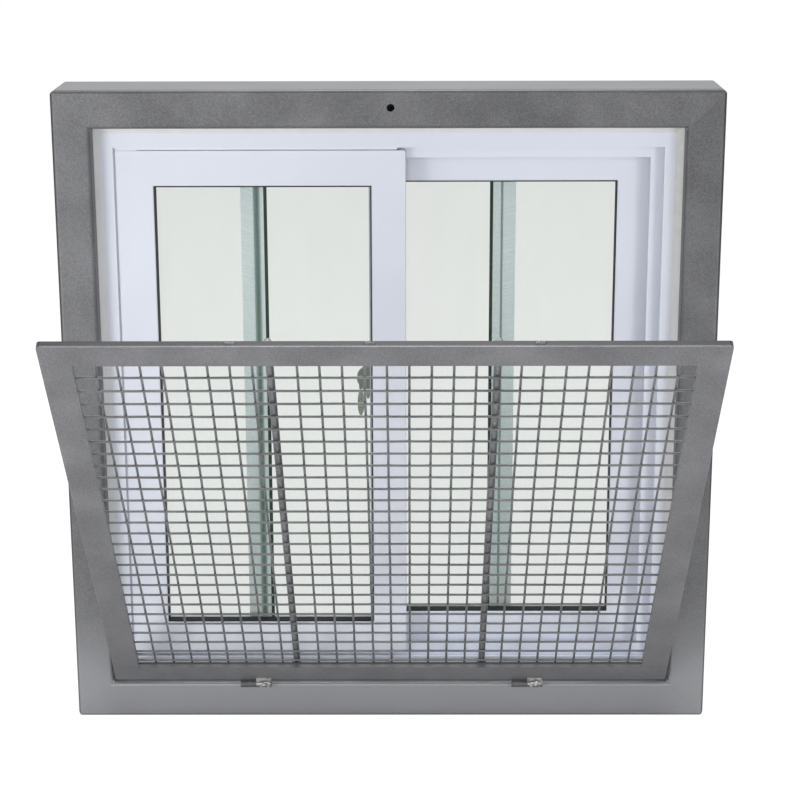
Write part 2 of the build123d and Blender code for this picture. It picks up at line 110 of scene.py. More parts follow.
class Wire:
    """One socket or number that takes part in Python expressions and adds Math nodes."""

    def __init__(self, graph: Graph, source: bpy.types.NodeSocket | float) -> None:
        """Wrap a source.

        Args:
            graph: The graph that new Math nodes go to.
            source: An output socket, or a number.
        """
        self.graph = graph
        self.source = source

    def math(self, operation: str, *others: Wire | float) -> Wire:
        """Add a Math node.

        Args:
            operation: The Math node's operation.
            others: Its further operands.

        Returns:
            The node's result.
        """
        operands = dict(enumerate((self, *others)))
        node = self.graph.node("ShaderNodeMath", {"operation": operation}, operands)
        return Wire(self.graph, node.outputs[0])

    def __add__(self, other: Wire | float) -> Wire:
        """Sum."""
        return self.math("ADD", other)

    def __radd__(self, other: float) -> Wire:
        """Sum with a number on the left."""
        return self.math("ADD", other)

    def __sub__(self, other: Wire | float) -> Wire:
        """Difference."""
        return self.math("SUBTRACT", other)

    def __rsub__(self, other: float) -> Wire:
        """Difference from a number on the left."""
        return Wire(self.graph, other).math("SUBTRACT", self)

    def __mul__(self, other: Wire | float) -> Wire:
        """Product."""
        return self.math("MULTIPLY", other)

    def __abs__(self) -> Wire:
        """Size without sign."""
        return self.math("ABSOLUTE")

    def least(self, other: Wire | float) -> Wire:
        """The smaller of two."""
        return self.math("MINIMUM", other)

    def most(self, other: Wire | float) -> Wire:
        """The larger of two."""
        return self.math("MAXIMUM", other)

    def step(self, low: float, high: float) -> Wire:
        """Smooth rise from 0 at low to 1 at high.

        Args:
            low: Value at which the rise starts.
            high: Value at which it ends.

        Returns:
            The risen value.
        """
        node = self.graph.node(
            "ShaderNodeMapRange",
            {"interpolation_type": "SMOOTHSTEP"},
            {"Value": self, "From Min": low, "From Max": high, "To Min": 0.0, "To Max": 1.0},
        )
        return Wire(self.graph, node.outputs[0])

    def near(self, place: float, reach: float) -> Wire:
        """1 at a place, falling to 0 at a reach from it."""
        return 1.0 - abs(self - place).step(0.0, reach)


Value = Union[Wire, bpy.types.NodeSocket, float, Sequence[float]]


class Graph:
    """A material with the few helpers that its finish is written with."""

    # Numbers of a colour Mix node's sockets, whose names repeat for its other types of data.
    MIX_AMOUNT, MIX_LOW, MIX_HIGH, MIX_RESULT = 0, 6, 7, 2

    def __init__(self, name: str) -> None:
        """Make an empty material.

        Args:
            name: The material's name.
        """
        self.material = bpy.data.materials.new(name)
        self.material.use_nodes = True
        self.tree = self.material.node_tree
        self.tree.nodes.clear()
        self._point: bpy.types.NodeSocket | None = None

    def node(
        self, kind: str, settings: dict | None = None, sockets: dict | None = None
    ) -> bpy.types.Node:
        """Add a node.

        Args:
            kind: The node's type.
            settings: Its properties, set before its sockets.
            sockets: Values or links of its input sockets, by name or number.

        Returns:
            The node.
        """
        node = self.tree.nodes.new(kind)
        for key, value in (settings or {}).items():
            setattr(node, key, value)
        for key, value in (sockets or {}).items():
            self.feed(node.inputs[key], value)
        return node

    def feed(self, socket: bpy.types.NodeSocket, value: Value) -> None:
        """Set or link one input socket.

        Args:
            socket: The input.
            value: A number, a colour or vector, or a link.
        """
        source = value.source if isinstance(value, Wire) else value
        if isinstance(source, bpy.types.NodeSocket):
            self.tree.links.new(source, socket)
        elif isinstance(source, (int, float)):
            socket.default_value = source
        elif socket.type == "RGBA" and len(source) == 3:
            socket.default_value = (*source, 1.0)
        else:
            socket.default_value = source

    @property
    def point(self) -> bpy.types.NodeSocket:
        """Object coordinates."""
        if self._point is None:
            self._point = self.node("ShaderNodeTexCoord").outputs["Object"]
        return self._point

    def axes(self) -> tuple[Wire, Wire, Wire]:
        """The object coordinates apart, as x, y and z."""
        split = self.node("ShaderNodeSeparateXYZ", None, {0: self.point})
        return tuple(Wire(self, out) for out in split.outputs)

    def along(self, direction: Sequence[float], origin: Sequence[float]) -> Wire:
        """Distance along a direction from an origin.

        Args:
            direction: Unit vector.
            origin: Point where the distance is 0.

        Returns:
            The distance in metres.
        """
        operands = {0: self.point, 1: direction}
        dot = self.node("ShaderNodeVectorMath", {"operation": "DOT_PRODUCT"}, operands)
        return Wire(self, dot.outputs["Value"]) - Vector(direction).dot(Vector(origin))

    def speckle(self, size: float, detail: float = 2.0, stretch: XYZ = (1, 1, 1)) -> Wire:
        """Noise about 0.5.

        Args:
            size: Size of its features, in metres.
            detail: Octaves.
            stretch: How much it is drawn out along x, y and z.

        Returns:
            The noise.
        """
        scale = tuple(1.0 / (size * s) for s in stretch)
        place = self.node("ShaderNodeMapping", None, {"Vector": self.point, "Scale": scale})
        sockets = {"Vector": place.outputs[0], "Scale": 1.0, "Detail": detail}
        made = self.node("ShaderNodeTexNoise", None, sockets)
        return Wire(self, made.outputs[0])

    def cells(self, size: float) -> Wire:
        """Distance to the nearest of scattered points, in cell sizes."""
        sockets = {"Vector": self.point, "Scale": 1.0 / size}
        made = self.node("ShaderNodeTexVoronoi", None, sockets)
        return Wire(self, made.outputs["Distance"])

    def blend(self, amount: Value, low: Value, high: Value) -> bpy.types.NodeSocket:
        """Mix two colours.

        Args:
            amount: 0 for the first colour, 1 for the second.
            low: The first colour or link.
            high: The second.

        Returns:
            The mixed colour.
        """
        sockets = {self.MIX_AMOUNT: amount, self.MIX_LOW: low, self.MIX_HIGH: high}
        made = self.node("ShaderNodeMix", {"data_type": "RGBA"}, sockets)
        return made.outputs[self.MIX_RESULT]

    def bump(self, height: Wire, distance: float, strength: float) -> bpy.types.NodeSocket:
        """Normal of a height.

        Args:
            height: The height, in distances.
            distance: What a height of 1 stands for, in metres.
            strength: Share of the effect.

        Returns:
            The normal.
        """
        sockets = {"Height": height, "Distance": distance, "Strength": strength}
        return self.node("ShaderNodeBump", None, sockets).outputs[0]

    def shade(self, **sockets: Value) -> bpy.types.Material:
        """End the graph in a Principled shader.

        Args:
            sockets: Its inputs, with underscores for blanks.

        Returns:
            The finished material.
        """
        values = {key.replace("_", " "): value for key, value in sockets.items()}
        shader = self.node("ShaderNodeBsdfPrincipled", None, values)
        self.node("ShaderNodeOutputMaterial", None, {"Surface": shader.outputs[0]})
        return self.material


# Finishes


def tinted(colour: RGB, gain: float) -> RGB:
    """A colour made lighter or darker, kept within 1."""
    return tuple(min(1.0, part * gain) for part in colour)


@dataclass(frozen=True)
class LeafPlace:
    """Where the guard leaf stands at rest."""

    axis_y: float = -0.055
    axis_z: float = 0.051
    open_deg: float = 38.4
    half_width: float = 0.380
    low: float = 0.004
    high: float = 0.762
    border: float = 0.035
    front: float = -0.004
    back: float = -0.012

    @property
    def up(self) -> Vector:
        """Direction up the leaf."""
        tilt = math.radians(self.open_deg)
        return Vector((0.0, -math.sin(tilt), math.cos(tilt)))

    @property
    def out(self) -> Vector:
        """Direction out of the leaf's outer face."""
        tilt = math.radians(self.open_deg)
        return Vector((0.0, -math.cos(tilt), -math.sin(tilt)))

    @property
    def origin(self) -> Vector:
        """Point on the hinge axis at the middle of the leaf."""
        return Vector((0.0, self.axis_y, self.axis_z))

    @property
    def matrix(self) -> Matrix:
        """Takes the leaf's own x, up and out to the row's coordinates."""
        turn = Matrix((Vector((1, 0, 0)), self.up, self.out)).transposed().to_4x4()
        return Matrix.Translation(self.origin) @ turn

    def axes(self, g: Graph) -> tuple[Wire, Wire, Wire]:
        """A graph's coordinates along x, up the leaf and out of it, from the hinge axis."""
        return g.axes()[0], g.along(self.up, self.origin), g.along(self.out, self.origin)


LEAF = LeafPlace()


@dataclass(frozen=True)
class HammerPaint:
    """Grey hammertone paint on steel, rubbed light along its edges.

    grain, dimple, mottle, patch, cloud and bead are the sizes of its noise, and relief is the
    depth of its dimples, in metres. The other numbers are strengths.
    """

    name: str
    tone: RGB
    light: RGB
    rough: float = 0.42
    metal: float = 0.45
    grain: float = 0.9 * MM
    dimple: float = 2.2 * MM
    mottle: float = 1.5 * MM
    patch: float = 14 * MM
    cloud: float = 70 * MM
    bead: float = 5 * MM
    relief: float = 0.18 * MM
    relief_share: float = 0.7
    bead_relief: float = 0.8
    cloud_tone: float = 1.4
    mottle_tone: float = 0.6
    least_light: float = 0.1
    least_wear: float = 0.35
    wear_tone: float = 0.75
    seam_tone: float = 0.08
    mottle_rough: float = 0.14
    cloud_rough: float = 0.1
    wear_rough: float = 0.1
    worn_gain: float = 1.75
    lighter_gain: float = 1.6
    shade_gain: float = 0.3

    def coat(
        self,
        wear: Callable[[Graph], Wire],
        weld: Callable[[Graph], Wire] | None = None,
        painted_shade: Callable[[Graph], Wire] | None = None,
        lighten: Callable[[Graph], Wire] | None = None,
    ) -> bpy.types.Material:
        """Paint with wear where a piece is rubbed.

        Args:
            wear: Gives the rubbed places, from 0 to 1.
            weld: Gives the ground welds, from 0 to 1.
            painted_shade: Gives the painted shade, a darker copy of the tone, from 0 to 1.
            lighten: Gives the places painted lighter, from 0 to 1; on the frame this is a painted
                highlight.

        Returns:
            The material.
        """
        g = Graph(self.name)
        cloud = g.speckle(self.cloud, 3.0) - 0.5
        mottle = g.speckle(self.mottle, 1.0)
        patch = g.speckle(self.patch, 3.0).step(0.35, 0.65)
        rubbed = (wear(g) * (self.least_wear + patch)).least(1.0)
        shades = cloud * self.cloud_tone + mottle.step(0.3, 0.7) * self.mottle_tone
        tone = g.blend(shades + self.least_light, self.tone, self.light)
        tone = g.blend(rubbed * self.wear_tone, tone, tinted(self.light, self.worn_gain))
        height = g.speckle(self.grain) * 0.5 + g.cells(self.dimple) * 0.5
        # Places painted lighter; on the frame this is a painted highlight on the top face and foot.
        if lighten is not None:
            tone = g.blend(lighten(g), tone, tinted(self.light, self.lighter_gain))
        # Painted shade: a darker copy of the tone where painted_shade gives it.
        if painted_shade is not None:
            tone = g.blend(painted_shade(g), tone, tinted(self.tone, self.shade_gain))
        if weld is not None:
            seam = weld(g)
            tone = g.blend(seam * self.seam_tone, tone, self.light)
            height = height + seam * g.speckle(self.bead) * self.bead_relief
        rough = self.rough + (mottle - 0.5) * self.mottle_rough + cloud * self.cloud_rough
        return g.shade(
            Base_Color=tone,
            Metallic=self.metal,
            Roughness=rough - rubbed * self.wear_rough,
            Normal=g.bump(height, self.relief, self.relief_share),
        )


@dataclass(frozen=True)
class BareWeld:
    """Rippled weld metal with heat marks and a painted highlight on its ripple crests, bright unless
    it is given duller tones.
    """

    name: str = "bright_weld"
    tone: RGB = (0.50, 0.50, 0.50)
    heated: RGB = (0.20, 0.20, 0.20)
    highlight_share: float = 0.7
    crest_highlight: RGB = (0.85, 0.85, 0.85)
    metal: float = 0.85
    ripple: float = 1.4 * MM
    mark: float = 5 * MM
    relief: float = 0.5 * MM

    def coat(self) -> bpy.types.Material:
        """The material."""
        g = Graph(self.name)
        ripple = g.speckle(self.ripple, stretch=(0.6, 1, 1))
        tone = g.blend(g.speckle(self.mark).step(0.35, 0.7), self.tone, self.heated)
        # Painted highlight on the ripple crests.
        tone = g.blend(ripple.step(0.55, 0.75) * self.highlight_share, tone, self.crest_highlight)
        return g.shade(
            Base_Color=tone,
            Metallic=self.metal,
            Roughness=0.28 + ripple * 0.2,
            Normal=g.bump(ripple, self.relief, 0.8),
        )


@dataclass(frozen=True)
class Groove:
    """Painted shade in an upright groove of a bar: its x, its half width and how dark it is."""

    middle: float
    half: float
    share: float


@dataclass(frozen=True)
class WhitePvc:
    """Satin white window plastic with hairline mitres and specks of dust, with a painted highlight
    at its foot.
    """

    name: str
    corners: Corners | None = None
    tone: RGB = (0.70, 0.73, 0.815)
    rough: float = 0.38
    groove: Groove | None = None
    foot: Span = (0.10, 0.20)
    foot_highlight_gain: float = 1.25
    dust: RGB = (0.42, 0.42, 0.42)
    dust_share: float = 0.12
    speck: float = 1.1 * MM
    seam: RGB = (0.30, 0.31, 0.34)
    seam_share: float = 0.10
    seam_half: float = 0.5 * MM
    shadow: RGB = (0.14, 0.17, 0.18)
    cloud: float = 200 * MM
    grain: float = 0.9 * MM
    relief: float = 0.12 * MM

    def mitres(self, g: Graph) -> Wire:
        """Hairlines where the mitred members of a frame meet.

        Args:
            g: The graph they are drawn in.

        Returns:
            1 on a line and 0 away from it.
        """
        x, _, z = g.axes()
        x0, z0, x1, z1 = self.corners
        across = (x - x0).least(x1 - x)
        up = (z - z0).least(z1 - z)
        return abs(across - up).near(0.0, self.seam_half)

    def coat(self) -> bpy.types.Material:
        """The material."""
        g = Graph(self.name)
        x, _, z = g.axes()
        # Painted highlight: a lighter copy of the tone low down.
        low = 1.0 - z.step(*self.foot)
        tone = g.blend(low, self.tone, tinted(self.tone, self.foot_highlight_gain))
        specks = g.speckle(self.speck, 0.0).step(0.78, 0.86)
        tone = g.blend(specks * self.dust_share, tone, self.dust)
        height = g.speckle(self.grain, 0.0) * 0.05
        if self.corners is not None:
            line = self.mitres(g)
            tone = g.blend(line * self.seam_share, tone, self.seam)
            height = height - line * 0.4
        # Painted shade along the bar's groove.
        if self.groove is not None:
            line = x.near(self.groove.middle, self.groove.half)
            tone = g.blend(line * self.groove.share, tone, self.shadow)
        return g.shade(
            Base_Color=tone,
            Roughness=self.rough + (g.speckle(self.cloud, 0.0) - 0.5) * 0.06,
            IOR=1.5,
            Normal=g.bump(height, self.relief, 0.35),
        )


@dataclass(frozen=True)
class PaneGlass:
    """Clear glass with a faint green tone and a film of dust, and painted shade that makes it less
    clear at its foot.
    """

    name: str = "pane_glass"
    tone: RGB = (0.05, 0.17, 0.07)
    cover: float = 0.16
    film: float = 45 * MM
    film_cover: float = 0.03
    smear: float = 9 * MM
    foot: Span = (0.15, 0.60)
    foot_shade_cover: float = 0.035

    def coat(self) -> bpy.types.Material:
        """The material."""
        g = Graph(self.name)
        film = g.speckle(self.film, 4.0, (1, 1, 2.2)) - 0.5
        smear = g.speckle(self.smear, 3.0, (1, 1, 4)).step(0.6, 0.8)
        # Painted shade: the glass covers more of what lies behind it low down.
        low = 1.0 - g.axes()[2].step(*self.foot)
        return g.shade(
            Base_Color=self.tone,
            Roughness=0.03 + smear * 0.05,
            IOR=1.45,
            Alpha=self.cover + film * self.film_cover + low * self.foot_shade_cover,
        )


@dataclass(frozen=True)
class BlackRubber:
    """Black glazing gasket."""

    name: str = "black_gasket"
    tone: RGB = (0.008, 0.009, 0.010)
    dusty: RGB = (0.035, 0.036, 0.038)
    dust: float = 3 * MM
    relief: float = 0.1 * MM

    def coat(self) -> bpy.types.Material:
        """The material."""
        g = Graph(self.name)
        dust = g.speckle(self.dust, 3.0)
        return g.shade(
            Base_Color=g.blend(dust * 0.5, self.tone, self.dusty),
            Roughness=0.55 + dust * 0.2,
            Normal=g.bump(dust, self.relief, 0.4),
        )


@dataclass(frozen=True)
class OldSealant:
    """Pale sealant, smeared by hand and stained brown high up on the right."""

    name: str = "cream_sealant"
    tone: RGB = (0.60, 0.60, 0.60)
    light: RGB = (0.72, 0.725, 0.74)
    stain: RGB = (0.36, 0.30, 0.22)
    stain_share: float = 0.16
    stain_x: Span = (0.30, 0.36)
    stain_z: Span = (0.50, 0.72)
    blotch: float = 18 * MM
    smear: float = 5 * MM
    relief: float = 0.4 * MM

    def coat(self) -> bpy.types.Material:
        """The material."""
        g = Graph(self.name)
        x, _, z = g.axes()
        blotch = g.speckle(self.blotch, 4.0)
        smear = g.speckle(self.smear, 3.0)
        stained = z.step(*self.stain_z) * x.step(*self.stain_x) * blotch.step(0.38, 0.58)
        tone = g.blend(blotch, self.tone, self.light)
        tone = g.blend(stained * self.stain_share, tone, self.stain)
        return g.shade(
            Base_Color=tone,
            Roughness=0.42 + smear * 0.2,
            Normal=g.bump(smear, self.relief, 0.6),
        )


@dataclass(frozen=True)
class CastMetal:
    """Grey or bright metal of the lock and its keys."""

    name: str
    tone: RGB
    rough: float = 0.4
    metal: float = 0.7
    grain: float = 0.8 * MM
    rub: float = 4 * MM
    rub_gain: float = 1.35
    relief: float = 0.08 * MM

    def coat(self) -> bpy.types.Material:
        """The material."""
        g = Graph(self.name)
        rub = g.speckle(self.rub, 3.0)
        return g.shade(
            Base_Color=g.blend(rub, self.tone, tinted(self.tone, self.rub_gain)),
            Metallic=self.metal,
            Roughness=self.rough + (rub - 0.5) * 0.25,
            Normal=g.bump(g.speckle(self.grain), self.relief, 0.4),
        )


# Mesh helpers


@dataclass(frozen=True)
class Bead:
    """Size of a weld: its width, how far it stands proud and the distance from drop to drop."""

    width: float
    height: float
    pitch: float


def add_piece(
    name: str,
    shape: bmesh.types.BMesh,
    finish: bpy.types.Material,
    body: Body,
    stands_for: Sequence[str] = (),
) -> None:
    """Turn a bmesh into a piece of the object.

    Args:
        name: The piece's name.
        shape: Its shape, in the row's coordinates. It is freed.
        finish: Its material.
        body: The body that it rides on.
        stands_for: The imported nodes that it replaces.
    """
    bmesh.ops.recalc_face_normals(shape, faces=shape.faces)
    mesh = bpy.data.meshes.new(name)
    shape.to_mesh(mesh)
    shape.free()
    mesh.polygons.foreach_set("use_smooth", [True] * len(mesh.polygons))
    mesh.set_sharp_from_angle(angle=math.radians(SHARP_DEG))
    mesh.materials.append(finish)
    piece = bpy.data.objects.new(name, mesh)
    bpy.context.scene.collection.objects.link(piece)
    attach(piece, body.value)
    if stands_for:
        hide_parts(*stands_for)
    LOG.info("%s: %d faces", name, len(mesh.polygons))


def dress(frame: dict, nodes: Iterable[str], finish: bpy.types.Material) -> None:
    """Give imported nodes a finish.

    Args:
        nodes: The nodes' names.
        finish: The material.
    """
    for node in nodes:
        mesh = frame["nodes"][node].data
        mesh.materials.clear()
        mesh.materials.append(finish)
        LOG.info("%s: %s", node, finish.name)


def add_rod(
    shape: bmesh.types.BMesh, start: Vector, end: Vector, radius: float, steps: int, sway: float
) -> None:
    """Add a capped round wire.

    Args:
        shape: The bmesh that it goes into.
        start: Middle of its first end.
        end: Middle of its last end.
        radius: Its radius.
        steps: Number of its lengths.
        sway: How far its middle line wanders, in metres.
    """
    line = end - start
    turn = line.to_track_quat("Z", "X").to_matrix().to_4x4()
    place = Matrix.Translation(start) @ turn
    circle = bmesh.ops.create_circle(
        shape, segments=ROD_SIDES, radius=radius, cap_ends=True, matrix=place
    )
    rim = list(dict.fromkeys(edge for vert in circle["verts"] for edge in vert.link_edges))
    past = Vector()
    for step in range(1, steps + 1):
        made = bmesh.ops.extrude_edge_only(shape, edges=rim)["geom"]
        ring = [item for item in made if isinstance(item, bmesh.types.BMVert)]
        rim = [item for item in made if isinstance(item, bmesh.types.BMEdge)]
        middle = start + line * (step / steps)
        here = sway * noise.noise_vector(middle * SWAY_WAVE) if step < steps else Vector()
        bmesh.ops.translate(shape, verts=ring, vec=line / steps + here - past)
        past = here
    bmesh.ops.contextual_create(shape, geom=rim)


def add_box(shape: bmesh.types.BMesh, low: Vector, high: Vector) -> None:
    """Add a box along the axes.

    Args:
        shape: The bmesh that it goes into.
        low: Its lowest corner.
        high: Its highest corner.
    """
    place = Matrix.Translation((low + high) / 2) @ Matrix.Diagonal((*(high - low), 1.0))
    bmesh.ops.create_cube(shape, size=1.0, matrix=place)


def add_blob(
    shape: bmesh.types.BMesh, centre: Vector, size: Vector, fineness: int, turn: Matrix | None = None
) -> None:
    """Add a lumpy drop of weld.

    Args:
        shape: The bmesh that it goes into.
        centre: Its middle.
        size: Its half sizes.
        fineness: Subdivisions of the sphere.
        turn: Rotation of those half sizes.
    """
    spin = Matrix.Identity(4) if turn is None else turn.to_4x4()
    place = Matrix.Translation(centre) @ spin @ Matrix.Diagonal((*size, 1.0))
    sphere = bmesh.ops.create_icosphere(shape, subdivisions=fineness, radius=1.0, matrix=place)
    least = min(size)
    for vert in sphere["verts"]:
        lump = noise.noise(vert.co * (LUMP_WAVE / least)) * least * LUMP_SHARE
        vert.co += (vert.co - centre).normalized() * lump


def add_weld_run(
    shape: bmesh.types.BMesh, start: Vector, end: Vector, bead: Bead, out: Vector
) -> None:
    """Add a row of overlapping weld drops, each a little larger or smaller than the bead.

    Args:
        shape: The bmesh that it goes into.
        start: Where the run begins.
        end: Where it ends.
        bead: Its size.
        out: Direction in which it stands proud.
    """
    line = end - start
    count = max(2, int(line.length / bead.pitch) + 1)
    along = line.normalized()
    side = along.cross(out).normalized()
    turn = Matrix((along, side, out.normalized())).transposed()
    for i in range(count):
        place = start * JITTER_WAVE + Vector((i * JITTER_STEP, 0, 0))
        jitter = 1.0 + JITTER_SHARE * noise.noise(place)
        size = Vector((bead.pitch * DROP_OVERLAP, bead.width / 2, bead.height)) * jitter
        add_blob(shape, start + line * (i / (count - 1)), size, DROP_FINENESS, turn)


# Sub-assemblies


@dataclass
class SteelFrame:
    """Mitred rectangular tube round the window.

    The spans are where a zone along x or z begins and ends, and the shares are its strength.
    """

    half: float = 0.435
    opening: float = 0.385
    middle: float = 0.435
    front: float = -0.050
    face_reach: float = 4 * MM
    edge_reach: float = 2.4 * MM
    seam_half: float = 5 * MM
    worn_foot: Span = (0.03, 0.12)
    # Painted highlight: lighter paint up to this height on the bottom rail's front.
    lighter_foot: Span = (0.03, 0.20)
    top_face: Span = (0.868, 0.8695)
    right_side: Span = (0.37, 0.38)
    post_foot: Span = (0.05, 0.25)
    edge_wear: float = 0.05
    foot_wear: float = 0.4
    right_wear: float = 0.35
    # Strength of the painted highlight.
    lighter_share: float = 0.85
    # Strengths of the painted shade.
    edge_shade: float = 0.65
    post_shade: float = 0.10
    right_shade: float = 0.08
    bead: Bead = Bead(6 * MM, 2.2 * MM, 2.6 * MM)
    bead_run: Span = (3 * MM, 24 * MM)
    bead_proud: float = 0.4 * MM
    paint: HammerPaint = HammerPaint(
        "frame_hammertone", (0.096, 0.097, 0.103), (0.186, 0.188, 0.197)
    )

    def square(self, g: Graph) -> Wire:
        """Half side of the square round the frame's middle on which a point lies."""
        x, _, z = g.axes()
        return abs(x).most(abs(z - self.middle))

    def wear(self, g: Graph) -> Wire:
        """Rubbed edge of the opening, most of all low down and on the right.

        Args:
            g: The graph it is drawn in.

        Returns:
            The rubbed places, from 0 to 1.
        """
        x, y, z = g.axes()
        edge = self.square(g).near(self.opening, self.edge_reach)
        low = (1.0 - z.step(*self.worn_foot)) * self.foot_wear
        right = x.step(*self.right_side) * self.right_wear
        return edge * y.near(self.front, self.face_reach) * (self.edge_wear + low + right)

    def lighten(self, g: Graph) -> Wire:
        """Painted highlight on the top face and on the bottom rail's front.

        Args:
            g: The graph they are drawn in.

        Returns:
            The painted highlight, from 0 to 1.
        """
        _, y, z = g.axes()
        low = (1.0 - z.step(*self.lighter_foot)) * y.near(self.front, 8 * MM)
        upper = z.step(*self.top_face) * y.step(self.front + 4 * MM, self.front + 6 * MM)
        return (low + upper) * self.lighter_share

    def painted_shade(self, g: Graph) -> Wire:
        """Painted shade on the outer edges of the front and on the posts, which are a little darker
        than the rails and darkest on the right.

        Args:
            g: The graph they are drawn in.

        Returns:
            The painted shade, from 0 to 1.
        """
        x, y, z = g.axes()
        front = 1.0 - y.step(self.front + 3.5 * MM, self.front + 5 * MM)
        edge = self.square(g).step(self.half - 3.5 * MM, self.half - 1.5 * MM)
        post = (abs(x) - abs(z - self.middle)).step(-self.seam_half, self.seam_half)
        dark = self.post_shade + x.step(*self.right_side) * self.right_shade
        return (front * edge * self.edge_shade).most(post * z.step(*self.post_foot) * dark)

    def weld(self, g: Graph) -> Wire:
        """Ground welds along the mitres.

        Args:
            g: The graph they are drawn in.

        Returns:
            1 along a weld.
        """
        x, _, z = g.axes()
        return abs(abs(x) - abs(z - self.middle)).near(0.0, self.seam_half)

    def build(self, frame: dict) -> None:
        """Dress the tubes and add the welds in the corners of the opening.
        """
        # Tubes with painted shade on the posts and outer edges, and painted highlight on the top
        # face and foot.
        coat = self.paint.coat(self.wear, self.weld, self.painted_shade, self.lighten)
        sides = ("top_rail", "bottom_rail", "left_post", "right_post")
        dress(frame, [f"steel_{side}" for side in sides], coat)
        shape = bmesh.new()
        for side in (-1, 1):
            for up in (-1, 1):
                out = Vector((-side, 0, -up)).normalized()
                x = side * self.opening
                z = self.middle + up * self.opening
                start, end = (
                    Vector((x, self.front + depth, z)) + out * self.bead_proud
                    for depth in self.bead_run
                )
                add_weld_run(shape, start, end, self.bead, out)
        add_piece("frame_corner_welds", shape, coat, Body.WINDOW)


